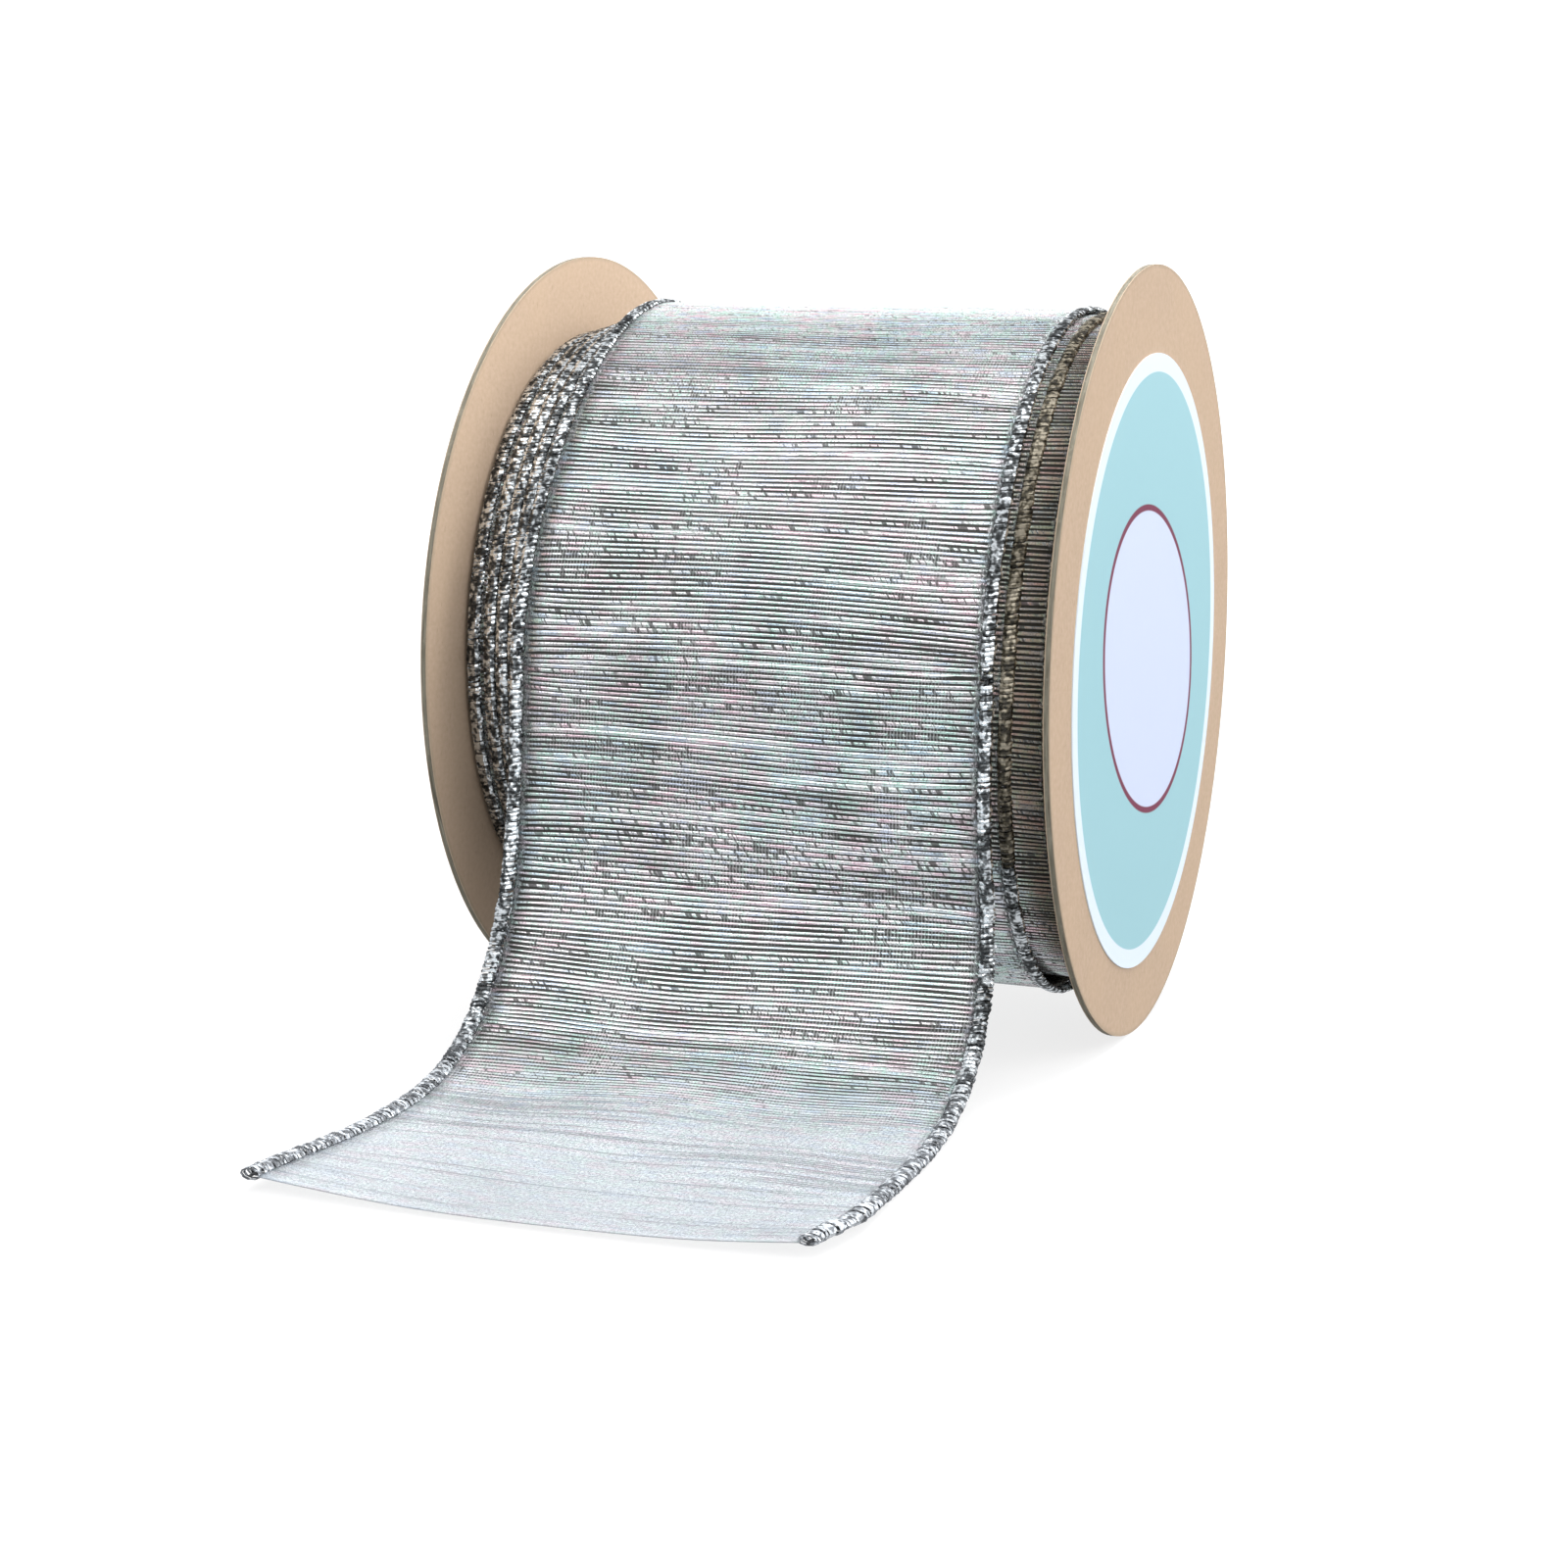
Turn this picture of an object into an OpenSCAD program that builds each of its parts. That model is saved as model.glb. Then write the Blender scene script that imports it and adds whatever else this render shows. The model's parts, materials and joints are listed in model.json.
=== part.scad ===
// Card spool of wired ribbon, standing on its two flange rims with a free tail of ribbon on the floor.
// The origin is on the spool's axis, halfway between the flanges. X is the axis, Z is up and the tail
// runs towards -Y.

/* [Flanges] */
// Diameter of each round card flange
flange_d = 101.6; // [95:0.1:140]
// Thickness of the grey board inside a flange
board_t = 0.6; // [0.4:0.1:2]
// Thickness of the kraft facing on each side of a board
facing_t = 0.1; // [0.05:0.05:0.3]
// Clear width between the two flanges
flange_gap = 80; // [70:0.5:100]

/* [Core] */
// Diameter of the hole through the flanges and the core tube
bore_d = 25.4; // [16:0.1:28]
// Wall of the wound card tube
tube_wall = 2.4; // [1.5:0.1:3]
// Thickness of the kraft cover round the tube
cover_t = 0.8; // [0.3:0.1:1]
// Leg of the glue bead between the cover and each flange
glue_leg = 1.5; // [0.8:0.1:2.5]
// Width of the tape that holds the ribbon's start, across the ribbon
tape_w = 50; // [20:1:55]

/* [Label] */
// Diameter of the round paper label
label_d = 81.2; // [60:0.1:88]
// Thickness of the label
label_t = 0.15; // [0.1:0.05:0.3]
// How far the label's centre sits below the axis
label_drop = 1.4; // [0:0.1:3]

/* [Ribbon] */
// Width of the ribbon over both edgings
ribbon_w = 63.5; // [50:0.5:66]
// Diameter of the wound ribbon
pack_d = 90; // [80:0.5:92]
// Number of turns on the core
turns = 47; // [20:1:50]
// Width of the thread edging that wraps each long edge
edging_w = 1.8; // [1.2:0.1:2.5]
// How far the edging stands proud of the fabric on the outer turn
edging_proud = 0.5; // [0.2:0.1:0.8]
// Diameter of the wire inside each edging
wire_d = 0.3; // [0.2:0.02:0.36]

/* [Tail] */
// Thickness of the fabric in the free tail
fabric_t = 0.4; // [0.3:0.05:0.5]
// Thickness of the edging on the free tail
tail_edging_t = 1.2; // [0.8:0.1:1.4]
// Radius of the bend that turns the tail from falling to lying
bend_r = 24; // [12:1:30]
// Length of tail that lies on the floor
toe_l = 44.5; // [20:0.5:80]

/* [Hidden] */
$fn = 120;

LEFT = -1;
RIGHT = 1;
KRAFT = [0.84, 0.72, 0.6];
BOARD_GREY = [0.49, 0.47, 0.41];
SILVER = [0.72, 0.75, 0.74];
TINSEL = [0.55, 0.55, 0.5];
STEEL = [0.6, 0.6, 0.62];
MINT = [0.68, 0.88, 0.87];

flange_r = flange_d / 2;
bore_r = bore_d / 2;
half_gap = flange_gap / 2;
flange_t = board_t + 2 * facing_t;
tube_r = bore_r + tube_wall;
core_r = tube_r + cover_t;

// The tape is a patch of a ring on the core, and the first turn lies over it.
tape_t = 0.1;
tape_angle = 60;
start_r = core_r + tape_t;

pack_r = pack_d / 2;
pitch = (pack_r - start_r) / turns;
outer_inner_r = pack_r - pitch;
side_play = (flange_gap - ribbon_w) / 2;
half_fabric = ribbon_w / 2 - edging_w;

// Share of the side play that each of the last turns is shifted by, the outermost first.
LAST_SHIFTS = [0.1, 0.38, 0.67, 0.96, -0.16, -0.38, -0.62, -0.94];
// The inner turns wander from side to side by this share of the side play, and this many degrees a turn.
inner_wander = 0.8;
wander_step = 57;

// The outer turn covers this angle, from under the tail by the back and the top to the tail's start.
outer_turn_angle = 330;

// The tail hangs clear of the turn beneath it and starts just below the end of the outer turn.
tail_y = -(pack_r + 0.3);
tail_top_z = -1.5;
floor_z = -flange_r;
toe_z = floor_z + tail_edging_t / 2;
bend_centre_y = tail_y - bend_r;
bend_centre_z = toe_z + bend_r;

function turn_shift(i) =
    let (from_outside = turns - 1 - i)
    side_play * (from_outside < len(LAST_SHIFTS)
        ? LAST_SHIFTS[from_outside]
        : inner_wander * sin(wander_step * i));

function turn_r(i) = start_r + pitch * i;

// A solid of revolution about the X axis. Its outline is drawn as (radius, x).
module about_axis(angle = 360) {
    rotate([0, 90, 0]) rotate_extrude(angle = angle) children();
}

// A round sheet with the core hole, from x to x + thickness.
module flange_sheet(x, thickness) {
    about_axis() translate([bore_r, x]) square([flange_r - bore_r, thickness]);
}

// x where a flange layer starts, when its near face is this far outside the flange's inner face.
function layer_x(side, depth, thickness) =
    side == RIGHT ? half_gap + depth : -half_gap - depth - thickness;

module flange_board(side) {
    color(BOARD_GREY) flange_sheet(layer_x(side, facing_t, board_t), board_t);
}

module flange_inner_facing(side) {
    color(KRAFT) flange_sheet(layer_x(side, 0, facing_t), facing_t);
}

module flange_outer_facing(side) {
    color(KRAFT) flange_sheet(layer_x(side, facing_t + board_t, facing_t), facing_t);
}

module core_ring(inner_r, outer_r) {
    about_axis() translate([inner_r, -half_gap]) square([outer_r - inner_r, flange_gap]);
}

module core_tube() {
    color(BOARD_GREY) core_ring(bore_r, tube_r);
}

module core_cover() {
    color(KRAFT) core_ring(tube_r, core_r);
}

// A fillet of glue in the corner between the core and a flange.
module glue_bead(side) {
    color("ivory") about_axis()
        polygon([[core_r, side * half_gap],
                 [core_r + glue_leg, side * half_gap],
                 [core_r, side * (half_gap - glue_leg)]]);
}

module round_label() {
    color(MINT) translate([half_gap + flange_t, 0, -label_drop])
        rotate([0, 90, 0]) cylinder(d = label_d, h = label_t);
}

module start_tape() {
    color("white") about_axis(tape_angle)
        translate([core_r, -tape_w / 2]) square([tape_t, tape_w]);
}

// The wound turns under the outer one, as a stepped ring: each turn is shifted to its own side.
module wound_ribbon() {
    color(SILVER) about_axis() difference() {
        polygon(concat(wound_steps(RIGHT), [for (i = [turns * 2 - 3 : -1 : 0]) wound_steps(LEFT)[i]]));
        wire_sections(LEFT);
        wire_sections(RIGHT);
    }
}

// The (radius, x) corners of the fabric's stepped end on one side, from the core outwards.
function wound_steps(side) = [
    for (i = [0 : turns - 2], step = [0, 1])
        [turn_r(i + step), turn_shift(i) + side * half_fabric]
];

module wound_edging(side) {
    color(TINSEL) about_axis() difference() {
        for (i = [0 : turns - 2])
            translate([turn_r(i), edging_start(side, turn_shift(i))]) square([pitch, edging_w]);
        wire_sections(side);
    }
}

module wound_wire(side) {
    color(STEEL) about_axis() wire_sections(side);
}

// A wire lies where the edging grips the fabric's edge. Its section is drawn square, which keeps the many
// rings light.
module wire_section(i, side) {
    translate([turn_r(i) + pitch / 2, turn_shift(i) + side * half_fabric])
        square(wire_d, center = true);
}

module wire_sections(side) {
    for (i = [0 : turns - 2]) wire_section(i, side);
}

// x where an edging starts, on a ribbon whose middle is at x = shift.
function edging_start(side, shift) =
    side == RIGHT ? shift + half_fabric : shift - half_fabric - edging_w;

// The last turn. It ends at the front, level with the axis, where the tail starts. about_axis() starts
// straight down and turns by the back and the top, so it has turned 270 degrees at the front.
module outer_arc() {
    rotate([270 - outer_turn_angle, 0, 0]) about_axis(outer_turn_angle) children();
}

module outer_turn() {
    color(SILVER) outer_arc() difference() {
        translate([outer_inner_r, turn_shift(turns - 1) - half_fabric])
            square([pitch, 2 * half_fabric]);
        wire_section(turns - 1, LEFT);
        wire_section(turns - 1, RIGHT);
    }
}

module outer_edging(side) {
    color(TINSEL) outer_arc() difference() {
        translate([outer_inner_r, edging_start(side, turn_shift(turns - 1))])
            square([pitch + edging_proud, edging_w]);
        wire_section(turns - 1, side);
    }
}

module outer_wire(side) {
    color(STEEL) outer_arc() wire_section(turns - 1, side);
}

// The tail's side view, as (z, y): it falls straight, turns forward through a quarter circle and lies flat.
module tail_outline(thickness) {
    half_t = thickness / 2;
    translate([bend_centre_z, tail_y - half_t]) square([tail_top_z - bend_centre_z, thickness]);
    intersection() {
        translate([bend_centre_z, bend_centre_y]) difference() {
            circle(r = bend_r + half_t);
            circle(r = bend_r - half_t);
        }
        translate([toe_z - half_t, bend_centre_y]) square(bend_r + half_t);
    }
    translate([toe_z - half_t, bend_centre_y - toe_l]) square([thickness, toe_l]);
}

// A strip of the tail from x to x + width. Turning by 90 degrees about Y sends the outline's x to -Z.
module tail_strip(x, width, thickness) {
    translate([x, 0, 0]) rotate([0, 90, 0]) linear_extrude(width) mirror([1, 0])
        tail_outline(thickness);
}

// The wire of one edge, on the same route as the fabric.
module tail_wire_solid(side) {
    tail_strip(turn_shift(turns - 1) + side * half_fabric - wire_d / 2, wire_d, wire_d);
}

module ribbon_tail() {
    color(SILVER) difference() {
        tail_strip(turn_shift(turns - 1) - half_fabric, 2 * half_fabric, fabric_t);
        tail_wire_solid(LEFT);
        tail_wire_solid(RIGHT);
    }
}

module tail_edging(side) {
    color(TINSEL) difference() {
        tail_strip(edging_start(side, turn_shift(turns - 1)), edging_w, tail_edging_t);
        tail_wire_solid(side);
    }
}

module tail_wire(side) {
    color(STEEL) tail_wire_solid(side);
}

flange_board(LEFT);  // left_flange_board
flange_inner_facing(LEFT);  // left_flange_inner_facing
flange_outer_facing(LEFT);  // left_flange_outer_facing
flange_board(RIGHT);  // right_flange_board
flange_inner_facing(RIGHT);  // right_flange_inner_facing
flange_outer_facing(RIGHT);  // right_flange_outer_facing
core_tube();
core_cover();
glue_bead(LEFT);  // left_glue_bead
glue_bead(RIGHT);  // right_glue_bead
round_label();
start_tape();
wound_ribbon();
wound_edging(LEFT);  // wound_left_edging
wound_edging(RIGHT);  // wound_right_edging
wound_wire(LEFT);  // wound_left_wire
wound_wire(RIGHT);  // wound_right_wire
outer_turn();
outer_edging(LEFT);  // outer_left_edging
outer_edging(RIGHT);  // outer_right_edging
outer_wire(LEFT);  // outer_left_wire
outer_wire(RIGHT);  // outer_right_wire
ribbon_tail();
tail_edging(LEFT);  // tail_left_edging
tail_edging(RIGHT);  // tail_right_edging
tail_wire(LEFT);  // tail_left_wire
tail_wire(RIGHT);  // tail_right_wire
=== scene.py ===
"""The looks of a card spool of wired metallic ribbon, standing on its rims with a free tail of ribbon.

The ribbon is one long sheet. A point on it is given by u, across the ribbon from its middle, and v, along it:
v is 0 at the hinge line where the ribbon leaves the roll, grows inwards along the winding, and is negative on
the free tail. Everything is in metres.
"""

import json
import math

import bpy
import numpy as np
from mathutils import Matrix, Vector


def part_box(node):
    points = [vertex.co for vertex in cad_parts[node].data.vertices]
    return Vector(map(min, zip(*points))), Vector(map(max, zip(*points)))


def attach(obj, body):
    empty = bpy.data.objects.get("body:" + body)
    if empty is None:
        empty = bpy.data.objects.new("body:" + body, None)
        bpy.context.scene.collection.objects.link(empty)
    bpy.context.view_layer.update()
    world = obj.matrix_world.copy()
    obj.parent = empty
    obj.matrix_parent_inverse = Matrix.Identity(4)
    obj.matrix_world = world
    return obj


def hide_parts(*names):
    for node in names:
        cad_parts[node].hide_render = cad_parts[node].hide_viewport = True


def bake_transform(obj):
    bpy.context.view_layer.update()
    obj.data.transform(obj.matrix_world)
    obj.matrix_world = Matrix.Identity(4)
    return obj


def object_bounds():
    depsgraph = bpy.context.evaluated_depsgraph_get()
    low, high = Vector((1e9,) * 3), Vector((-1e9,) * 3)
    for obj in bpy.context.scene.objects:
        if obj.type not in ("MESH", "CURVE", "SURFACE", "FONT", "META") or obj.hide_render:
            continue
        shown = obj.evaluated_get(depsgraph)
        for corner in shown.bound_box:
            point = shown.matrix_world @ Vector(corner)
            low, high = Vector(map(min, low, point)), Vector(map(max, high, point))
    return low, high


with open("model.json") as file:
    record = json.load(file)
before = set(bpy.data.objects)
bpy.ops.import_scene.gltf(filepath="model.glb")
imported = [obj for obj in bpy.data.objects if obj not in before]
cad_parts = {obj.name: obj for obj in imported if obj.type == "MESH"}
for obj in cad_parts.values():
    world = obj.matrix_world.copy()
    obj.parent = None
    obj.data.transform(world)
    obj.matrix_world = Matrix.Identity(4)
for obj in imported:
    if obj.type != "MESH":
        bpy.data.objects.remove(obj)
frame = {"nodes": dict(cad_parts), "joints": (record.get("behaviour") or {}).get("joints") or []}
cad_low, cad_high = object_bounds()

MM = 0.001
LEFT, RIGHT = -1, 1

# ---------------------------------------------------------------- sizes, from the frame

floor_z = cad_low.z
turn_low, turn_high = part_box("outer_turn")
half_fabric = (turn_high.x - turn_low.x) / 2
edging_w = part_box("outer_right_edging")[1].x - turn_high.x
pack_r = turn_high.z
core_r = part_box("core_cover")[1].z
flange_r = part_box("right_flange_board")[1].z
half_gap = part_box("right_flange_inner_facing")[0].x
side_play = half_gap - half_fabric - edging_w
label_low, label_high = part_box("round_label")
label_r = (label_high.y - label_low.y) / 2
label_z = (label_high.z + label_low.z) / 2
hinge_y = frame["joints"][0]["pos_m"][1]
tail_end_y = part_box("ribbon_tail")[0].y

# ---------------------------------------------------------------- the ribbon

TURNS = 47
TAPE_T = 0.1 * MM
WEFT = 0.65 * MM             # from one metallic cross thread to the next
ROWS_PER_WEFT = 4
CLOTH_T = 0.16 * MM
RIB_H = 0.15 * MM            # how far a metallic thread stands above the gap beside it
FLATTENED = 0.75             # the share of that lost where the tail lies on the floor
FLATTENS = (46 * MM, 62 * MM)  # the lengths below the hinge line over which it is lost
SHOWN_COLUMNS = 22           # points across the tail and the outer turn
ROLL_COLUMNS = 5             # and across the turns under it
OUTER_SHARE = 330 / 360      # how much of a turn the outer stretch covers
FINE_TURNS = 4.3             # turns counted from outside that show their cross threads
COARSE_ROWS = 60             # rows a turn further in

pitch = (pack_r - core_r - TAPE_T) / TURNS
outer_r = pack_r - pitch / 2

# How far each turn sits to the right of the middle, as a share of the side play: (turns in, share).
SIDE_STEPS = [(0.0, 0.10), (0.35, 0.10), (0.8, 0.22), (1.0, 0.38), (1.3, 0.42), (1.7, 0.8), (2.0, 0.97),
              (2.12, 0.94), (2.25, 0.68), (2.45, 0.7), (2.8, 0.97), (3.4, 0.96), (3.9, -0.12), (4.2, -0.16),
              (4.8, -0.34), (5.2, -0.4), (5.8, -0.6), (6.2, -0.64), (6.8, -0.92), (7.3, -0.94)]
INNER_WANDER = 0.8
WANDER_STEP = math.radians(57)


def smooth(x, low, high):
    """0 below low, 1 above high, and a soft step between."""
    share = np.clip((x - low) / (high - low), 0, 1)
    return share * share * (3 - 2 * share)


def hump(x, low, high):
    """A soft hump from 0 at low, through 1 halfway, to 0 at high."""
    share = np.clip((x - low) / (high - low), 0, 1)
    return np.sin(math.pi * share) ** 2


def turns_in(v):
    """Turns counted inwards from the hinge line, from the length wound."""
    return (outer_r - np.sqrt(outer_r**2 - pitch * np.maximum(v, 0) / math.pi)) / pitch


def wound_length(turns):
    return 2 * math.pi * (outer_r * turns - pitch * turns**2 / 2)


def side_shift(turns):
    """x of the ribbon's middle where it has this many turns over it."""
    steps = np.interp(turns, *zip(*SIDE_STEPS))
    inner = INNER_WANDER * np.sin(WANDER_STEP * (TURNS - 1 - turns))
    last_step = SIDE_STEPS[-1][0]
    share = smooth(turns, last_step, last_step + 1)
    return side_play * (steps * (1 - share) + inner * share)


# The tail falls straight, bends forward and lies on the floor. Its bend tightens, holds and eases out.
BEND_IN = 3.2 * MM
BEND_HOLD = 21.4 * MM
BEND_OUT = 26.9 * MM
TOE_H = 0.64 * MM            # the cloth's height over the floor, held up by its thick edgings
TAIL_STEP = 0.25 * MM


def tail_route():
    """(length from the hinge line, y, z, angle turned from straight down) at close steps along the tail."""
    corners = np.cumsum([0, BEND_IN, BEND_HOLD, BEND_OUT])
    along = np.arange(0, corners[-1] + TAIL_STEP, TAIL_STEP)
    curvature = np.interp(along, corners, [0, 1, 1, 0])
    turned = np.cumsum(curvature)
    turned *= math.pi / 2 / turned[-1]
    bend_drop = np.sum(np.cos(turned)) * TAIL_STEP
    bend_reach = np.sum(np.sin(turned)) * TAIL_STEP
    straight = -(floor_z + TOE_H) - bend_drop
    toe = hinge_y - bend_reach - tail_end_y
    length = straight + corners[-1] + toe
    s = np.arange(0, length + TAIL_STEP, TAIL_STEP)
    angle = np.interp(s - straight, along, turned)
    y = hinge_y - np.cumsum(np.sin(angle)) * TAIL_STEP
    z = -np.cumsum(np.cos(angle)) * TAIL_STEP
    return s, y, z, angle


TAIL_S, TAIL_Y, TAIL_Z, TAIL_ANGLE = tail_route()
tail_length = TAIL_S[-1]

LIFT_OFF_TURNS = 0.09        # the roll eases out to the hinge line over this much of a turn
SAG = 2.1 * MM               # the slack of the outer turn, low at the front
SAG_TURNS = (0.68, 1.08)     # the turns from the hinge line between which it hangs
LEFT_TUCK = 1.6 * MM         # the outer turn's left edge is drawn in above the hinge line
LEFT_TUCK_TURNS = (-0.02, 0.35)

# Lengths along the tail are counted from the hinge line.
LOOSENS = (10 * MM, 50 * MM)  # where the tail's cloth and thread get looser
TWIST = 3.4 * MM             # the tail's left edge bends further forward and its right edge less
TWISTS = (12 * MM, 42 * MM)
TWIST_LOST = 0.65            # the share of the twist lost between here and the end
TWIST_LOST_FROM = 60 * MM
DRIFT = 3.7 * MM             # how far the tail's end has swung to the right
DRIFT_FROM = 10 * MM
END_L = 30 * MM              # the stretch before the cut end that takes the next three shapes
END_CURL = 1.1 * MM          # how far the wires hold the two corners up
END_BULGE = 1.2 * MM         # how far the middle of the end reaches past them
END_FLARE = 0.6 * MM         # how far each corner spreads outwards
CORNER_L = 12 * MM
CORNER_TUCK = 1.8 * MM       # the wire at the right corner is bent inwards
CORNER_ACROSS = (0.4, 1.06)  # the shares of the half width over which the tuck grows

# The soft waves of cloth that isn't pulled tight.
ROLL_WAVE = 0.08 * MM        # their height on the roll
TAIL_WAVE = 0.4 * MM
WAVES = [(47 * MM, 36 * MM, 0.7), (31 * MM, -58 * MM, 2.0)]  # (length across, length along, phase)
WAVES_DIE = (0.85, 1.0)      # turns, where the turn above presses the cloth flat
END_FLATTER = 0.8            # the share of their height lost at the cut end
EDGE_FLATTER = 0.7           # and at the two edges

# The cross threads' wander: (how far, in threads, radians a thread, radians a metre across, phase).
WEFT_WANDER = [(0.3, 0.13, 75, 0.0), (0.25, 0.047, -110, 1.0)]
MARGIN_WANDER = 0.4          # threads, beside the edging
END_WANDER = 0.2             # the share of it left at the cut end
END_STEADY_L = 6 * MM


def roll_line(v):
    """y, z and the outward normal's y and z on the winding."""
    turns = turns_in(v)
    r = outer_r - pitch * turns
    r = r + (-hinge_y - outer_r) * (1 - smooth(turns, 0, LIFT_OFF_TURNS))
    r = r + SAG * hump(turns, *SAG_TURNS)
    angle = 2 * math.pi * turns
    ny, nz = -np.cos(angle), np.sin(angle)
    return r * ny, r * nz, ny, nz


def tail_line(s):
    """The same on the tail, at length s below the hinge line."""
    angle = np.interp(s, TAIL_S, TAIL_ANGLE)
    y = np.interp(s, TAIL_S, TAIL_Y)
    z = np.interp(s, TAIL_S, TAIL_Z)
    return y, z, -np.cos(angle), np.sin(angle)


def slack(u, v):
    """How far the soft waves raise the cloth."""
    across = np.clip(np.abs(u) / half_fabric, 0, 1)
    waves = [np.sin(2 * math.pi * (u / wide + v / long) + phase) for wide, long, phase in WAVES]
    height = ROLL_WAVE + (TAIL_WAVE - ROLL_WAVE) * smooth(-v, *LOOSENS)
    height = height * (1 - smooth(turns_in(v), *WAVES_DIE))
    height = height * (1 - END_FLATTER * smooth(-v, tail_length - END_L, tail_length))
    return height * sum(waves) / len(waves) * (1 - EDGE_FLATTER * across**3)


def ribbon_point(u, v, lift):
    """The point of the ribbon at u and v, raised by lift along the outward normal."""
    u, v, lift = np.broadcast_arrays(u, v, lift)
    s = np.maximum(-v, 0)
    y, z, ny, nz = (np.where(v < 0, tail, roll) for roll, tail in zip(roll_line(v), tail_line(s)))
    lift = lift + slack(u, v)
    turns = turns_in(v)
    across = u / half_fabric
    x = side_shift(turns) + u
    x = x + DRIFT * smooth(s, DRIFT_FROM, tail_length)
    x = x + LEFT_TUCK * hump(turns, *LEFT_TUCK_TURNS) * (1 - across) / 2
    twist = TWIST * smooth(s, *TWISTS) * (1 - TWIST_LOST * smooth(s, TWIST_LOST_FROM, tail_length))
    y = y + twist * across
    near_end = smooth(s, tail_length - END_L, tail_length)
    z = z + END_CURL * np.minimum(across**2, 1) * near_end
    y = y - END_BULGE * np.maximum(1 - across**2, 0) * near_end
    corner = smooth(s, tail_length - CORNER_L, tail_length) * smooth(across, *CORNER_ACROSS)
    x = x + END_FLARE * across * near_end - CORNER_TUCK * corner
    return np.stack([x, y + ny * lift, z + nz * lift], axis=-1)


def weft_drift(u, weft):
    """How far, in threads, the cross threads wander from square, so that they bunch and spread."""
    across = u / half_fabric
    wander = sum(far * np.sin(per_thread * weft + per_metre * u + phase)
                 for far, per_thread, per_metre, phase in WEFT_WANDER)
    margin = MARGIN_WANDER * np.abs(across) ** 5 * np.sin(0.37 * weft + 2 * across)
    inside = smooth(weft * WEFT + tail_length, 0, END_STEADY_L)
    return (wander + margin) * (END_WANDER + (1 - END_WANDER) * inside)


# ---------------------------------------------------------------- meshes

def tube_mesh(name, rings, marks, smooth_faces=True):
    """A closed solid from rings of points, (rings, points a ring, 3). marks is a UV for each point.
    Each end is capped by a strip of quads, so a ring has an even number of points."""
    count, around, _ = rings.shape
    index = np.arange(count * around).reshape(count, around)
    after = np.roll(index, -1, axis=1)
    sides = np.stack([index[:-1], after[:-1], after[1:], index[1:]], axis=-1).reshape(-1, 4)
    half = np.arange(around // 2 - 1)
    cap = np.stack([half, around - 1 - half, around - 2 - half, half + 1], axis=-1)
    faces = np.concatenate([sides, cap, index[-1][cap][:, ::-1]])
    points = rings.reshape(-1, 3)
    a, b, c = (points[faces[:, i]] for i in (0, 1, 2))
    d = points[faces[:, 3]]
    volume = np.einsum("ij,ij->", a, np.cross(b, c)) + np.einsum("ij,ij->", a, np.cross(c, d))
    if volume < 0:
        faces = faces[:, ::-1]
    mesh = bpy.data.meshes.new(name)
    mesh.vertices.add(len(points))
    mesh.vertices.foreach_set("co", points.astype(np.float32).ravel())
    mesh.loops.add(faces.size)
    mesh.loops.foreach_set("vertex_index", faces.astype(np.int32).ravel())
    mesh.polygons.add(len(faces))
    mesh.polygons.foreach_set("loop_start", np.arange(0, faces.size, 4, dtype=np.int32))
    mesh.polygons.foreach_set("use_smooth", np.full(len(faces), smooth_faces))
    mesh.update(calc_edges=True)
    layer = mesh.uv_layers.new(name="Cloth")
    layer.data.foreach_set("uv", marks.reshape(-1, 2)[faces.ravel()].astype(np.float32).ravel())
    mesh.validate()
    piece = bpy.data.objects.new(name, mesh)
    bpy.context.scene.collection.objects.link(piece)
    return piece


def cloth_mesh(name, wefts, columns, rib_h):
    """A stretch of the ribbon's cloth. wefts counts the cross threads from the hinge line, in quarter steps.
    The UV holds u in units of 100 mm and the thread count."""
    u = np.linspace(-half_fabric, half_fabric, columns)
    grid_u, weft = np.meshgrid(u, wefts)
    v = WEFT * (weft + weft_drift(grid_u, weft))
    rib = (rib_h[:, None] / 2) * np.cos(2 * math.pi * weft)
    front = ribbon_point(grid_u, v, rib + CLOTH_T / 2)
    back = ribbon_point(grid_u, v, rib - CLOTH_T / 2)
    marks = np.stack([grid_u * 10, weft], axis=-1)
    rings = np.concatenate([front, back[:, ::-1]], axis=1)
    return tube_mesh(name, rings, np.concatenate([marks, marks[:, ::-1]], axis=1))


# The edging is a flat tinsel thread wound round the ribbon's edge and the wire in it.
LOOP = 0.62 * MM             # from one loop of the thread to the next
LOOP_STEPS = 10
LOOP_LEAN = 0.45             # loops, how far one side of a loop lies ahead of the other
LEAN_PHASE = 0.6
THREAD_HALF_W = 0.27 * MM
THREAD_HALF_T = 0.1 * MM
MARGIN_BITE = 0.1 * MM       # how far the loops reach past the edging's width on each side
LOOSE_WIDER = 0.15           # how much wider and bulkier the loops get where the tail is loose
LOOSE_BULKIER = 0.9
WIRE_R = 0.15 * MM
WIRE_SIDES = 6


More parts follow.
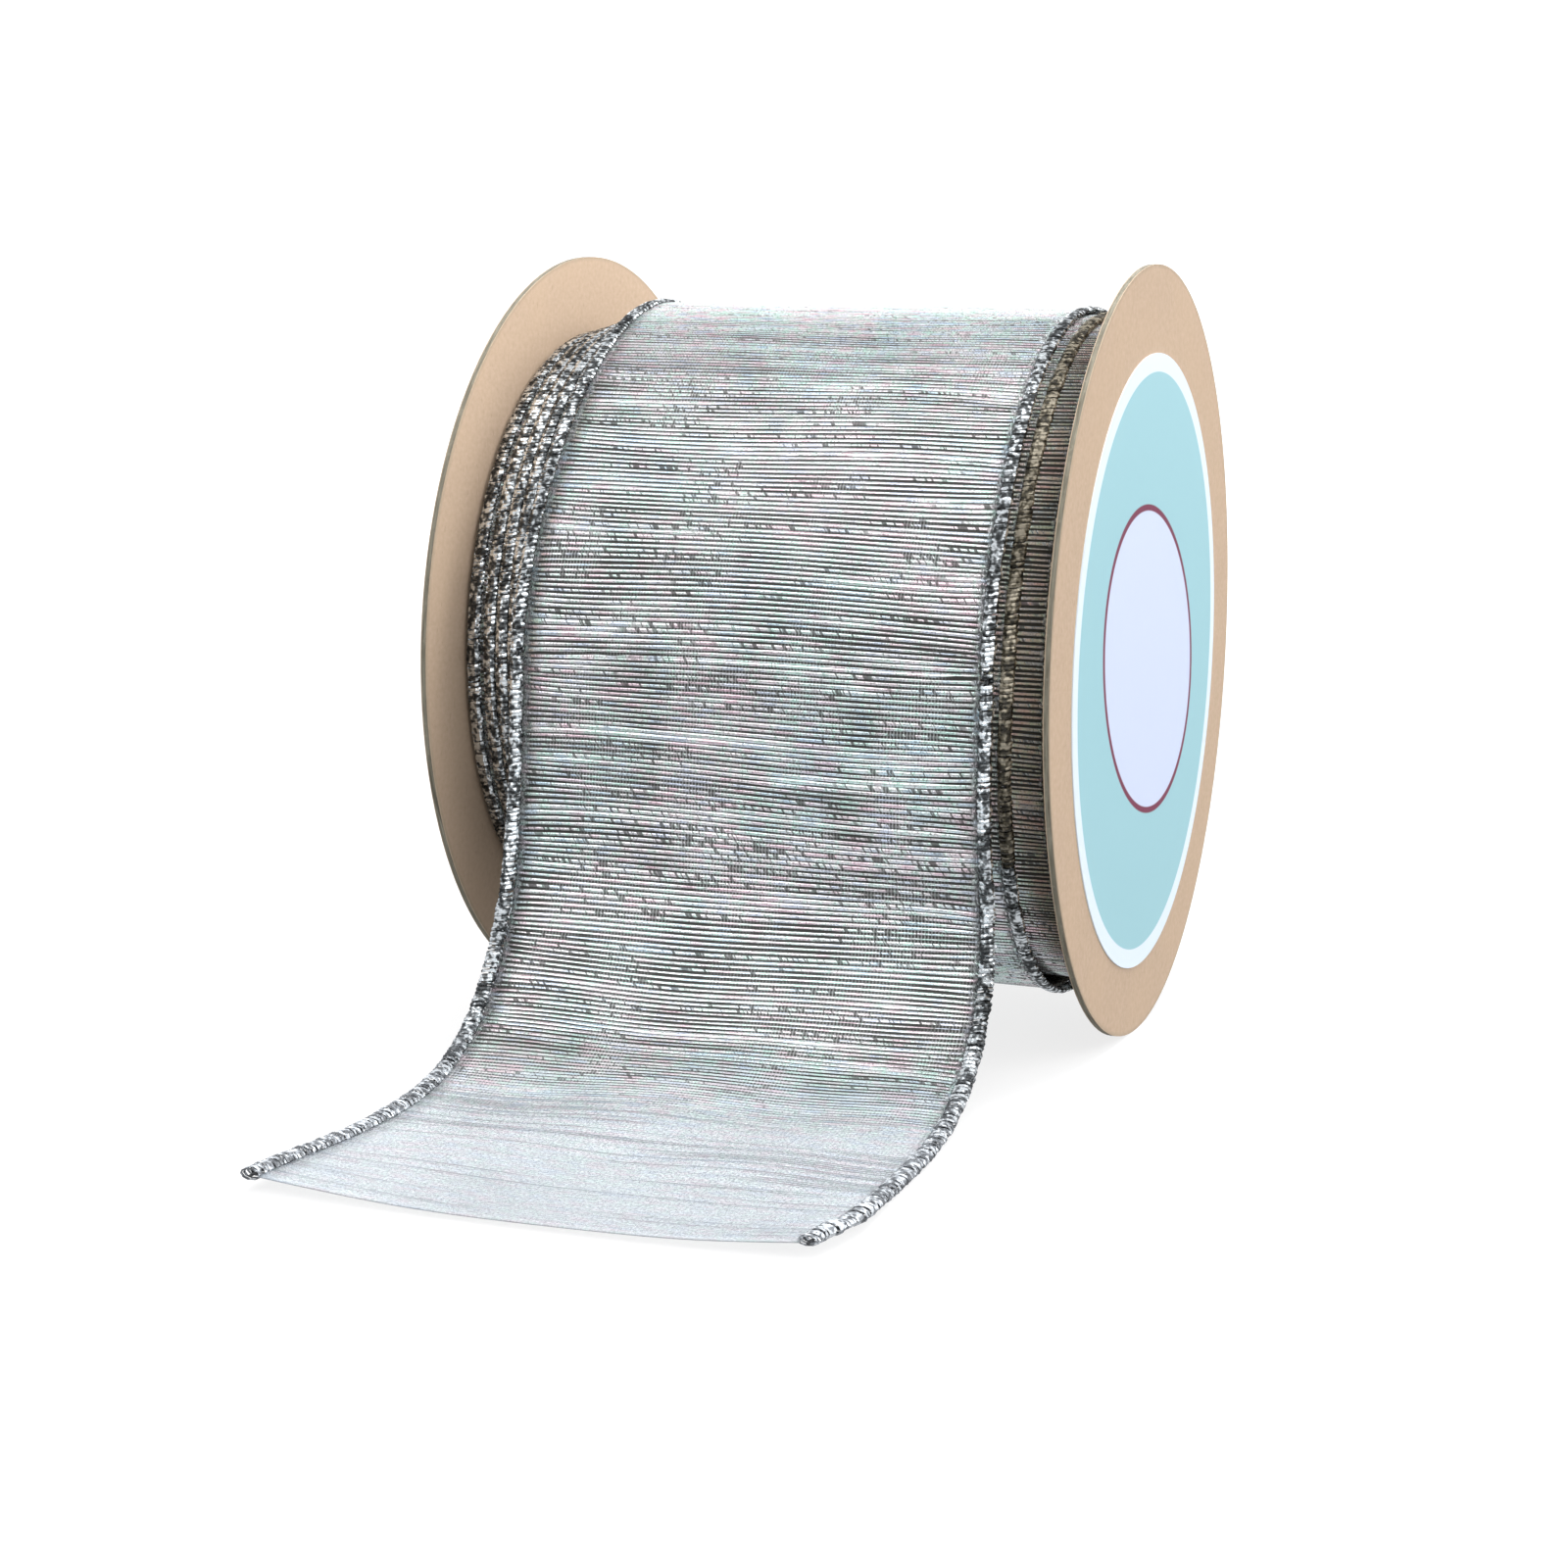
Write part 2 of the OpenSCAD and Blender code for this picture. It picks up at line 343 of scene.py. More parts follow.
def thread_mesh(name, side, v_from, v_to, half_height, raised, seed):
    """The wound thread of one edge between two lengths. half_height is half its bulk off the cloth where the
    ribbon is wound. Along the tail it fluffs up."""
    random = np.random.default_rng(seed)
    loops = int((v_to - v_from) / LOOP)
    knots = np.arange(loops + 2)
    step = np.arange(loops * LOOP_STEPS + 1) / LOOP_STEPS

    def from_loop_to_loop(low, high):
        return np.interp(step, knots, random.uniform(low, high, len(knots)))

    size_across = from_loop_to_loop(0.84, 1.06)
    size_out = from_loop_to_loop(0.7, 1.15)
    uneven = from_loop_to_loop(-0.22, 0.22)
    flatness = from_loop_to_loop(0.7, 1.35)
    angle = 2 * math.pi * step
    v = v_from + LOOP * (step + uneven + LOOP_LEAN * np.cos(angle + LEAN_PHASE))
    loose = smooth(-v, *LOOSENS)
    half_width = (edging_w / 2 + MARGIN_BITE - THREAD_HALF_T) * (1 + LOOSE_WIDER * loose)
    half_height = half_height * (1 + LOOSE_BULKIER * loose)
    u = side * (half_fabric + edging_w / 2) + half_width * size_across * np.cos(angle)
    lift = raised + half_height * size_out * np.sin(angle)
    ring = []
    for ahead, out in ((1, 0), (0, 1), (-1, 0), (0, -1)):
        u_off = THREAD_HALF_T * out * np.cos(angle)
        lift_off = THREAD_HALF_T * out * np.sin(angle)
        ring.append(ribbon_point(u + u_off, v + THREAD_HALF_W * flatness * ahead, lift + lift_off))
    marks = np.stack([v / MM / 10, angle / math.pi], axis=-1)
    return tube_mesh(name, np.stack(ring, axis=1), np.repeat(marks[:, None], 4, axis=1), smooth_faces=False)


def rod_mesh(name, side, v, radius_u, radius_n, raised, offset):
    """A plain tube along one edge of the ribbon, such as its wire, through the lengths v."""
    ring = []
    for i in range(WIRE_SIDES):
        angle = 2 * math.pi * i / WIRE_SIDES
        u = side * (half_fabric + offset) + radius_u * math.cos(angle)
        ring.append(ribbon_point(u, v, raised + radius_n * math.sin(angle)))
    marks = np.stack([v / MM / 10, np.zeros_like(v)], axis=-1)
    return tube_mesh(name, np.stack(ring, axis=1), np.repeat(marks[:, None], WIRE_SIDES, axis=1))


def join(name, parts):
    """One piece from several meshes."""
    with bpy.context.temp_override(active_object=parts[0], selected_editable_objects=parts):
        bpy.ops.object.join()
    parts[0].name = name
    parts[0].data.name = name
    return parts[0]


# ---------------------------------------------------------------- materials

class Look:
    """A material in the making. Each method adds one node and returns its output."""

    def __init__(self, name):
        self.material = bpy.data.materials.new(name)
        self.material.use_nodes = True
        self.tree = self.material.node_tree
        self.tree.nodes.clear()

    def node(self, kind, **settings):
        made = self.tree.nodes.new(kind)
        for key, value in settings.items():
            setattr(made, key, value)
        return made

    def feed(self, socket, value):
        if isinstance(value, bpy.types.NodeSocket):
            self.tree.links.new(value, socket)
        elif isinstance(value, tuple):
            socket.default_value = (*value, 1.0)[: len(socket.default_value)]
        else:
            socket.default_value = value

    def math(self, operation, a, b=0.0, c=0.0):
        made = self.node("ShaderNodeMath", operation=operation)
        for socket, value in zip(made.inputs, (a, b, c)):
            self.feed(socket, value)
        return made.outputs[0]

    def step(self, value, low, high):
        """0 to 1 as value goes from low to high, softly."""
        made = self.node("ShaderNodeMapRange", interpolation_type="SMOOTHSTEP")
        for name, given in (("Value", value), ("From Min", low), ("From Max", high)):
            self.feed(made.inputs[name], given)
        return made.outputs[0]

    def inverse(self, share):
        return self.math("SUBTRACT", 1.0, share)

    def swing(self, noise, amount, middle=0.5):
        """A noise turned into a number that goes either way of 0."""
        return self.math("MULTIPLY", self.math("SUBTRACT", noise, middle), amount)

    def radius(self, a, b):
        return self.math("SQRT", self.math("ADD", self.math("MULTIPLY", a, a), self.math("MULTIPLY", b, b)))

    def mix(self, share, a, b, blend="MIX"):
        made = self.node("ShaderNodeMix", data_type="RGBA", blend_type=blend)
        for socket, value in zip((made.inputs[0], made.inputs[6], made.inputs[7]), (share, a, b)):
            self.feed(socket, value)
        return made.outputs[2]

    def place(self):
        return self.node("ShaderNodeTexCoord").outputs["Object"]

    def cloth_uv(self):
        return self.node("ShaderNodeUVMap", uv_map="Cloth").outputs[0]

    def split(self, vector):
        made = self.node("ShaderNodeSeparateXYZ")
        self.feed(made.inputs[0], vector)
        return made.outputs[:]

    def vector(self, *xyz):
        made = self.node("ShaderNodeCombineXYZ")
        for socket, value in zip(made.inputs, xyz):
            self.feed(socket, value)
        return made.outputs[0]

    def stretch(self, vector, scale):
        made = self.node("ShaderNodeMapping")
        self.feed(made.inputs["Vector"], vector)
        made.inputs["Scale"].default_value = scale
        return made.outputs[0]

    def noise(self, vector, scale, detail=2.0, output=0):
        made = self.node("ShaderNodeTexNoise")
        self.feed(made.inputs["Vector"], vector)
        made.inputs["Scale"].default_value = scale
        made.inputs["Detail"].default_value = detail
        return made.outputs[output]

    def ramp(self, share, stops):
        made = self.node("ShaderNodeValToRGB")
        self.feed(made.inputs[0], share)
        points = made.color_ramp.elements
        while len(points) < len(stops):
            points.new(0.5)
        for point, (where, colour) in zip(points, stops):
            point.position = where
            point.color = (*colour, 1.0)
        return made.outputs[0]

    def bump(self, height, distance, strength=1.0):
        made = self.node("ShaderNodeBump")
        self.feed(made.inputs["Height"], height)
        made.inputs["Distance"].default_value = distance
        made.inputs["Strength"].default_value = strength
        return made.outputs[0]

    def finish(self, **values):
        """Ends in a Principled shader. Names are its sockets' with _ for a space."""
        shader = self.node("ShaderNodeBsdfPrincipled")
        for key, value in values.items():
            self.feed(shader.inputs[key.replace("_", " ")], value)
        output = self.node("ShaderNodeOutputMaterial")
        self.tree.links.new(shader.outputs[0], output.inputs[0])
        return self.material


SILVER = (0.95, 0.975, 0.98)
# Painted shade: the dark between the cross threads stands for the shaded turns seen through the gauze.
GAP_SHADE = (0.028, 0.028, 0.024)
DIMMED = (0.5175, 0.5285, 0.524)
PALE = (0.69, 0.725, 0.76)
PALE_SHADE = (0.385, 0.42, 0.46)
# The colour of the tail's grey threads, also used as painted shade in the gaps between threads.
GREY_THREAD_AND_GAP_SHADE = (0.1, 0.11, 0.125)
MARGIN_DARK = (0.15, 0.155, 0.16)
PASTELS = [(0.0, (1.0, 0.6, 0.72)), (0.36, (1.0, 0.99, 0.97)), (0.5, (0.7, 1.0, 0.86)),
           (0.64, (0.99, 0.99, 1.0)), (1.0, (0.62, 0.78, 1.0))]
SHIMMER = [(0.0, (1.0, 0.9, 0.94)), (0.45, (1.0, 1.0, 1.0)),
           (0.75, (0.84, 1.0, 0.96)), (1.0, (0.86, 0.94, 1.0))]
HATCH = 0.42                 # millimetres between the warp threads that show
SHEER_FROM = 51.0            # millimetres along the tail, where it turns from bright to sheer
SHEER_TO = 71.0
CUT_HEM = 1.2                # millimetres, the pale line at the cut end


class ClothLook(Look):
    """A look for the ribbon's cloth, with noises that follow its threads."""

    def __init__(self, name):
        super().__init__(name)
        across, self.weft, _ = self.split(self.cloth_uv())
        self.across = self.math("MULTIPLY", across, 100)             # millimetres from the middle
        self.along = self.math("MULTIPLY", self.weft, -WEFT / MM)    # millimetres along the tail
        self.ridge = self.math("COSINE", self.math("MULTIPLY", self.weft, 2 * math.pi))
        self.thread = self.math("FLOOR", self.math("ADD", self.weft, 0.5))

    def along_thread(self, per_mm, per_thread, layer, detail=1.0, slant=0.0):
        """Noise that runs along every thread on its own."""
        where = self.math("MULTIPLY", self.across, per_mm)
        if slant:
            off_middle = self.math("SUBTRACT", self.weft, self.thread)
            where = self.math("ADD", where, self.math("MULTIPLY", off_middle, slant))
        where = self.vector(where, self.math("MULTIPLY", self.thread, per_thread), layer)
        return self.noise(where, 1.0, detail)

    def over_cloth(self, per_mm, per_thread, layer, detail=1.0):
        """Noise that runs over the cloth whatever its threads do."""
        across = self.math("MULTIPLY", self.across, per_mm)
        along = self.math("MULTIPLY", self.weft, per_thread)
        return self.noise(self.vector(across, along, layer), 1.0, detail)


def thread_width(look, run, thin, sheer):
    """How wide a thread's bright face is: 0 is as wide as its gap. It comes and goes along the thread, and
    some threads and bands of threads are wider than others."""
    own = look.along_thread(per_mm=0.015, per_thread=4.77, layer=13.0, detail=0.0)
    bands = look.over_cloth(per_mm=0.02, per_thread=0.23, layer=41.0)
    width = look.math("ADD", look.swing(run, 2.2, middle=thin), look.swing(own, 1.7))
    width = look.math("ADD", width, look.swing(bands, 1.6))
    if sheer:
        # Round the tail's bend the threads are stretched thin.
        thinned = look.math("MULTIPLY", look.step(look.along, SHEER_FROM - 24, SHEER_FROM - 12),
                            look.step(look.along, SHEER_FROM + 2, SHEER_FROM - 7))
        width = look.math("SUBTRACT", width, look.math("MULTIPLY", thinned, 0.25))
    return width


def thread_breaks(look, patches):
    """Where a thread's bright face is broken: stretches of some are twisted into slanted dashes, and others
    are only nicked where two of their strands cross."""
    twisted = look.along_thread(per_mm=0.03, per_thread=5.1, layer=11.0)
    twisted = look.step(look.math("ADD", twisted, look.math("MULTIPLY", patches, 0.4)), 0.765, 0.81)
    dash = look.along_thread(per_mm=1.3, per_thread=3.7, layer=4.0, slant=0.6)
    breaks = look.math("MULTIPLY", twisted, look.inverse(look.step(dash, 0.4, 0.46)))
    nicked = look.along_thread(per_mm=0.025, per_thread=3.9, layer=29.0)
    nicked = look.step(look.math("ADD", nicked, look.math("MULTIPLY", patches, 0.2)), 0.68, 0.74)
    strands = look.along_thread(per_mm=0.7, per_thread=2.9, layer=23.0, slant=0.3)
    off_crossing = look.math("ABSOLUTE", look.math("SUBTRACT", strands, 0.5))
    nicks = look.math("MULTIPLY", nicked, look.step(off_crossing, 0.035, 0.012))
    return look.math("MULTIPLY", look.math("MAXIMUM", breaks, nicks), 0.85)


def sheer_end(look, depth, run, tint, hatch, colour, metallic):
    """The lying end of the tail, where pale threads show and the floor shines through. Gives its colour, its
    metallic share and its alpha."""
    fleck = look.step(look.over_cloth(per_mm=3.2, per_thread=1.4, layer=21.0), 0.36, 0.62)
    lit = look.math("MAXIMUM", look.math("MULTIPLY", hatch, 0.8), fleck)
    pale = look.mix(lit, PALE_SHADE, PALE)
    grey = look.step(look.along_thread(per_mm=0.012, per_thread=4.77, layer=31.0), 0.54, 0.6)
    grey = look.math("MULTIPLY", grey, look.step(look.ridge, -0.6, 0.0))
    pale = look.mix(look.math("MULTIPLY", grey, 0.75), pale, GREY_THREAD_AND_GAP_SHADE)
    end = tail_length / MM - CUT_HEM
    pale = look.mix(look.step(look.along, end, end + CUT_HEM / 3), pale, PALE)
    # Painted shade in the gaps between some threads, fading towards the end.
    between = look.math("MULTIPLY", look.step(look.ridge, 0.2, -0.8), look.step(run, 0.64, 0.4))
    fading = look.math("SUBTRACT", 0.75, look.math("MULTIPLY", depth, 0.5))
    pale = look.mix(look.math("MULTIPLY", between, fading), pale, GREY_THREAD_AND_GAP_SHADE)
    pale = look.mix(0.3, pale, tint, "MULTIPLY")
    # Painted shade: the pale cloth is darker towards the cut end.
    lying = look.step(look.along, SHEER_TO, tail_length / MM)
    pale = look.mix(look.math("MULTIPLY", lying, 0.4), pale, PALE_SHADE)
    colour = look.mix(look.math("MULTIPLY", depth, 0.9), colour, pale)
    dulled = look.math("MULTIPLY", look.step(look.along, SHEER_FROM - 5, SHEER_FROM + 11), 0.8)
    metallic = look.math("MULTIPLY", metallic, look.inverse(dulled))
    open_weave = look.math("SUBTRACT", 0.48, look.math("MULTIPLY", look.math("MAXIMUM", fleck, grey), 0.28))
    alpha = look.inverse(look.math("MULTIPLY", open_weave, depth))
    return colour, metallic, alpha


def silver_cloth(name, sheer, thin, margin_w, hatch_share):
    """Bright metallic cross threads over a fine gauze. sheer lets the floor show through the tail, thin
    narrows the threads, margin_w is how wide the stitched margin is, and hatch_share how much the warp
    shows."""
    look = ClothLook(name)
    run = look.along_thread(per_mm=0.12, per_thread=7.31, layer=0.0, detail=2.0)
    specks = look.over_cloth(per_mm=4.5, per_thread=2.2, layer=9.0)
    patches = look.over_cloth(per_mm=0.09, per_thread=0.035, layer=2.0, detail=3.0)
    width = thread_width(look, run, thin, sheer)
    metal = look.step(look.math("ADD", look.ridge, width), -0.2, 0.2)
    metal = look.math("MULTIPLY", metal, look.inverse(thread_breaks(look, patches)))

    # Close to the edging the threads end raggedly under its stitches.
    ragged = look.swing(look.along_thread(per_mm=0.01, per_thread=5.3, layer=7.0), 2.0)
    margin_from = half_fabric / MM - margin_w
    from_middle = look.math("ADD", look.math("ABSOLUTE", look.across), ragged)
    margin = look.step(from_middle, margin_from, margin_from + 0.6)
    stitch = look.step(look.over_cloth(per_mm=3.0, per_thread=1.1, layer=5.0), 0.42, 0.6)
    metal = look.mix(margin, metal, stitch)

    tint = look.along_thread(per_mm=0.3, per_thread=1.9, layer=6.0)
    tint = look.ramp(look.step(tint, 0.27, 0.73), PASTELS)
    shimmer = look.over_cloth(per_mm=0.07, per_thread=0.04, layer=17.0, detail=2.0)
    shimmer = look.ramp(look.step(shimmer, 0.3, 0.7), SHIMMER)
    bright = look.mix(look.step(specks, 0.26, 0.52), DIMMED, SILVER)
    bright = look.mix(0.52, bright, tint, "MULTIPLY")
    bright = look.mix(0.6, bright, shimmer, "MULTIPLY")
    # The fine warp shows as an upright hatch in places.
    hatch = look.math("COSINE", look.math("MULTIPLY", look.across, 2 * math.pi / HATCH))
    hatch = look.step(hatch, -0.2, 0.9)
    hatched = look.math("MULTIPLY", hatch, look.step(patches, 0.42, 0.6))
    # Painted shade between the threads, lightened where the warp hatch shows.
    gauze = look.mix(look.math("MULTIPLY", hatched, hatch_share), GAP_SHADE, SILVER)
    gauze = look.mix(margin, gauze, MARGIN_DARK)
    colour = look.mix(metal, gauze, bright)
    metallic = look.math("MULTIPLY", metal, 0.92)
    rough = look.math("ADD", look.math("MULTIPLY", metal, -0.26), 0.52)
    relief = look.bump(look.math("ADD", specks, look.math("MULTIPLY", metal, 0.6)), 0.06 * MM, 0.7)
    alpha = 1.0
    if sheer:
        depth = look.step(look.along, SHEER_FROM, SHEER_TO)
        colour, metallic, alpha = sheer_end(look, depth, run, tint, hatch, colour, metallic)
    return look.finish(Base_Color=colour, Metallic=metallic, Roughness=rough, Alpha=alpha, Normal=relief)


DULL_TINSEL = [(0.42, (0.13, 0.138, 0.15)), (0.5, (0.31, 0.33, 0.36)), (0.58, (0.72, 0.76, 0.8))]


def tinsel(name, base, glint_colour=(0.88, 0.93, 0.96), metallic=0.95, fades=False):
    """Flat metallic thread whose glints and the dark between them are painted into its colour: noise gives it
    near-white spots, painted highlights, and near-black ones, painted shade. fades makes it paler and duller
    along the tail, where light comes through it."""
    look = Look(name)
    place = look.place()
    glint = look.noise(place, 1450, 1.0)
    patch = look.noise(place, 420, 2.0)
    share = look.math("ADD", look.math("MULTIPLY", glint, 0.65), look.math("MULTIPLY", patch, 0.35))
    middle = tuple(4 * c for c in base)
    # Painted highlights and painted shade: the noise picks near-white and near-black spots of the colour.
    colour = look.ramp(share, [(0.42, base), (0.5, middle), (0.56, glint_colour)])
    rough = look.math("ADD", look.math("MULTIPLY", glint, -0.35), 0.4)
    if fades:
        centimetres, _, _ = look.split(look.cloth_uv())
        depth = look.step(look.math("MULTIPLY", centimetres, -10.0), SHEER_FROM - 12, SHEER_TO)
        colour = look.mix(look.math("MULTIPLY", depth, 0.9), colour, look.ramp(share, DULL_TINSEL))
        metallic = look.math("SUBTRACT", metallic, look.math("MULTIPLY", depth, 0.65))
    relief = look.bump(glint, 0.12 * MM, 0.8)
    return look.finish(Base_Color=colour, Metallic=metallic, Roughness=rough, Normal=relief)


KRAFT_FIBRES = [(0.25, (0.505, 0.368, 0.256)), (0.5, (0.545, 0.405, 0.29)), (0.75, (0.585, 0.44, 0.325))]
KRAFT_CLOUD = (0.6, 0.44, 0.3)
KRAFT_SPECK = (0.38, 0.26, 0.17)
KRAFT_RUBBED = (0.36, 0.29, 0.21)


def kraft(name):
    """Tan paper with long pale and dark fibres and a rim rubbed grey by the cutter."""
    look = Look(name)
    place = look.place()
    _, y, z = look.split(place)
    fibres = look.noise(look.stretch(place, (900, 1100, 1500)), 1.0, 3.0)
    cloud = look.noise(place, 90, 3.0)
    specks = look.noise(look.stretch(place, (1200, 1700, 700)), 1.0, 1.0)
    colour = look.ramp(fibres, KRAFT_FIBRES)
    colour = look.mix(look.math("MULTIPLY", look.step(cloud, 0.35, 0.7), 0.22), colour, KRAFT_CLOUD)
    colour = look.mix(look.math("MULTIPLY", look.step(specks, 0.68, 0.74), 0.35), colour, KRAFT_SPECK)
    rim = look.step(look.radius(y, z), flange_r - 0.7 * MM, flange_r - 0.05 * MM)
    colour = look.mix(look.math("MULTIPLY", rim, 0.4), colour, KRAFT_RUBBED)
    height = look.math("ADD", fibres, look.math("MULTIPLY", cloud, 0.5))
    rough = look.math("ADD", look.math("MULTIPLY", fibres, 0.2), 0.68)
    return look.finish(Base_Color=colour, Roughness=rough, Normal=look.bump(height, 0.04 * MM, 0.5),
                       Specular_IOR_Level=0.3)


BOARD_PLIES = [(0.3, (0.13, 0.115, 0.082)), (0.55, (0.215, 0.196, 0.148)), (0.75, (0.29, 0.265, 0.205))]
BOARD_GRAIN = (0.34, 0.31, 0.24)
BOARD_SEAM = (0.08, 0.07, 0.05)
SEAM_PITCH = 34 * MM         # from one turn of the tube's spiral seam to the next


def grey_board(name):
    """Grey chipboard. Its cut edge shows its plies, and the tube's inside shows the spiral seam."""
    look = Look(name)
    place = look.place()
    x, y, z = look.split(place)
    plies = look.noise(look.stretch(place, (6000, 300, 300)), 1.0, 2.0)
    grain = look.noise(place, 1400, 3.0)
    colour = look.ramp(plies, BOARD_PLIES)
    colour = look.mix(look.math("MULTIPLY", look.step(grain, 0.55, 0.75), 0.4), colour, BOARD_GRAIN)
    round_share = look.math("DIVIDE", look.math("ARCTAN2", y, z), 2 * math.pi)
    wrap = look.math("FRACT", look.math("ADD", look.math("DIVIDE", x, SEAM_PITCH), round_share))
    seam = look.step(look.math("ABSOLUTE", look.math("SUBTRACT", wrap, 0.5)), 0.012, 0.004)
    colour = look.mix(look.math("MULTIPLY", seam, 0.7), colour, BOARD_SEAM)
    rough = look.math("ADD", look.math("MULTIPLY", grain, 0.2), 0.75)
    relief = look.bump(look.math("SUBTRACT", grain, seam), 0.06 * MM, 0.6)
    return look.finish(Base_Color=colour, Roughness=rough, Normal=relief)


# The label's print: a white rim, a mint disc and a plain oval panel with one thin line round it.
MINT_R = label_r - 2.45 * MM
PRINT_EDGE = 0.06 * MM       # how soft the mint's edge is
PANEL_HALF_L = 27 * MM
PANEL_HALF_W = 20 * MM
PANEL_TILT = math.radians(-20)
PANEL_LINE = 0.8 * MM
PANEL_EDGE = 0.01            # the same for the panel's, as a share of its half width
LINE_COLOUR = (0.205, 0.03, 0.075)


def printed_label(name):
    """Satin paper with the print above on it."""
    look = Look(name)
    place = look.place()
    _, y, z = look.split(place)
    up = look.math("SUBTRACT", z, label_z)
    fibre = look.noise(look.stretch(place, (800, 2400, 500)), 1.0, 3.0)
    mint = look.mix(fibre, (0.345, 0.61, 0.675), (0.385, 0.647, 0.707))
    white = look.mix(fibre, (0.78, 0.88, 0.98), (0.82, 0.92, 1.0))
    panel = look.mix(fibre, (0.64, 0.72, 0.93), (0.68, 0.75, 0.96))
    colour = look.mix(look.step(look.radius(y, up), MINT_R - PRINT_EDGE, MINT_R + PRINT_EDGE), mint, white)
    cos_t, sin_t = math.cos(PANEL_TILT), math.sin(PANEL_TILT)
    long = look.math("ADD", look.math("MULTIPLY", y, cos_t), look.math("MULTIPLY", up, sin_t))
    short = look.math("SUBTRACT", look.math("MULTIPLY", up, cos_t), look.math("MULTIPLY", y, sin_t))
    oval = look.radius(look.math("DIVIDE", long, PANEL_HALF_L), look.math("DIVIDE", short, PANEL_HALF_W))
    colour = look.mix(look.step(oval, 1.0, 1.0 - PANEL_EDGE), colour, LINE_COLOUR)
    inside = 1.0 - PANEL_LINE / PANEL_HALF_W
    colour = look.mix(look.step(oval, inside, inside - PANEL_EDGE), colour, panel)
    rough = look.math("ADD", look.math("MULTIPLY", fibre, 0.15), 0.42)
    return look.finish(Base_Color=colour, Roughness=rough, Normal=look.bump(fibre, 0.02 * MM, 0.4),
                       Specular_IOR_Level=0.4)


def dried_glue(name):
    """White glue that has dried yellowish and lumpy."""
    look = Look(name)
    lumps = look.noise(look.place(), 300, 3.0)
    colour = look.mix(lumps, (0.72, 0.66, 0.48), (0.86, 0.82, 0.68))
    rough = look.math("ADD", look.math("MULTIPLY", lumps, 0.3), 0.3)
    return look.finish(Base_Color=colour, Roughness=rough, Normal=look.bump(lumps, 0.2 * MM))


def clear_tape(name):
    """Glossy tape with fine streaks along it."""
    look = Look(name)
    streaks = look.noise(look.stretch(look.place(), (90, 900, 900)), 1.0, 2.0)
    colour = look.mix(streaks, (0.74, 0.73, 0.64), (0.84, 0.83, 0.76))
    rough = look.math("ADD", look.math("MULTIPLY", streaks, 0.25), 0.12)
    return look.finish(Base_Color=colour, Roughness=rough, Normal=look.bump(streaks, 0.02 * MM))


def annealed_wire(name):
    """Dark drawn steel wire."""
    look = Look(name)
    drawn = look.noise(look.stretch(look.place(), (4000, 900, 900)), 1.0, 2.0)
    colour = look.mix(drawn, (0.05, 0.052, 0.055), (0.15, 0.153, 0.16))
    rough = look.math("ADD", look.math("MULTIPLY", drawn, 0.3), 0.35)
    return look.finish(Base_Color=colour, Metallic=0.7, Roughness=rough)


def dress(piece, material):
    piece.data.materials.clear()
    piece.data.materials.append(material)


# ---------------------------------------------------------------- the pieces

kraft_look = kraft("kraft_paper")
board_look = grey_board("grey_board")
glue_look = dried_glue("glue")
for node_name, material in (
    ("left_flange_board", board_look), ("right_flange_board", board_look), ("core_tube", board_look),
    ("left_flange_inner_facing", kraft_look), ("left_flange_outer_facing", kraft_look),
    ("right_flange_inner_facing", kraft_look), ("right_flange_outer_facing", kraft_look),
    ("core_cover", kraft_look), ("left_glue_bead", glue_look), ("right_glue_bead", glue_look),
    ("round_label", printed_label("label_paper")), ("start_tape", clear_tape("tape")),
):
    dress(frame["nodes"][node_name], material)

outer_silver = silver_cloth("silver_fabric", sheer=False, thin=0.37, margin_w=0.9, hatch_share=0.28)
# The wound turns' copy has narrower threads and no hatch, so more of the painted gap shade shows between
# them.
roll_silver = silver_cloth("silver_fabric_wound", sheer=False, thin=0.52, margin_w=0.2, hatch_share=0.0)
tail_silver = silver_cloth("silver_fabric_sheer", sheer=True, thin=0.37, margin_w=0.9, hatch_share=0.28)
# The tinsel's dark colour is painted shade between its loops, and its glint colours are painted highlights.
TINSEL_BASE = (0.055, 0.059, 0.061)
# The right wound thread's darker, browner copy is painted shade, with painted warm light thrown from the
# kraft.
SHADED_TINSEL_BASE = (0.028, 0.024, 0.016)
SHADED_TINSEL_GLINT = (0.32, 0.285, 0.22)
tinsel_look = tinsel("tinsel_edging", TINSEL_BASE)
tail_tinsel_look = tinsel("tinsel_edging_loose", TINSEL_BASE, fades=True)
shaded_tinsel_look = tinsel("tinsel_edging_shaded", SHADED_TINSEL_BASE, SHADED_TINSEL_GLINT, metallic=0.5)
wire_look = annealed_wire("wire")

rows = ROWS_PER_WEFT
outer_rows = round(wound_length(OUTER_SHARE) / WEFT * rows)
fine_rows = round(wound_length(FINE_TURNS) / WEFT * rows)
tail_rows = int(tail_length / WEFT * rows)
outer_end = outer_rows / rows * WEFT
fine_end = fine_rows / rows * WEFT

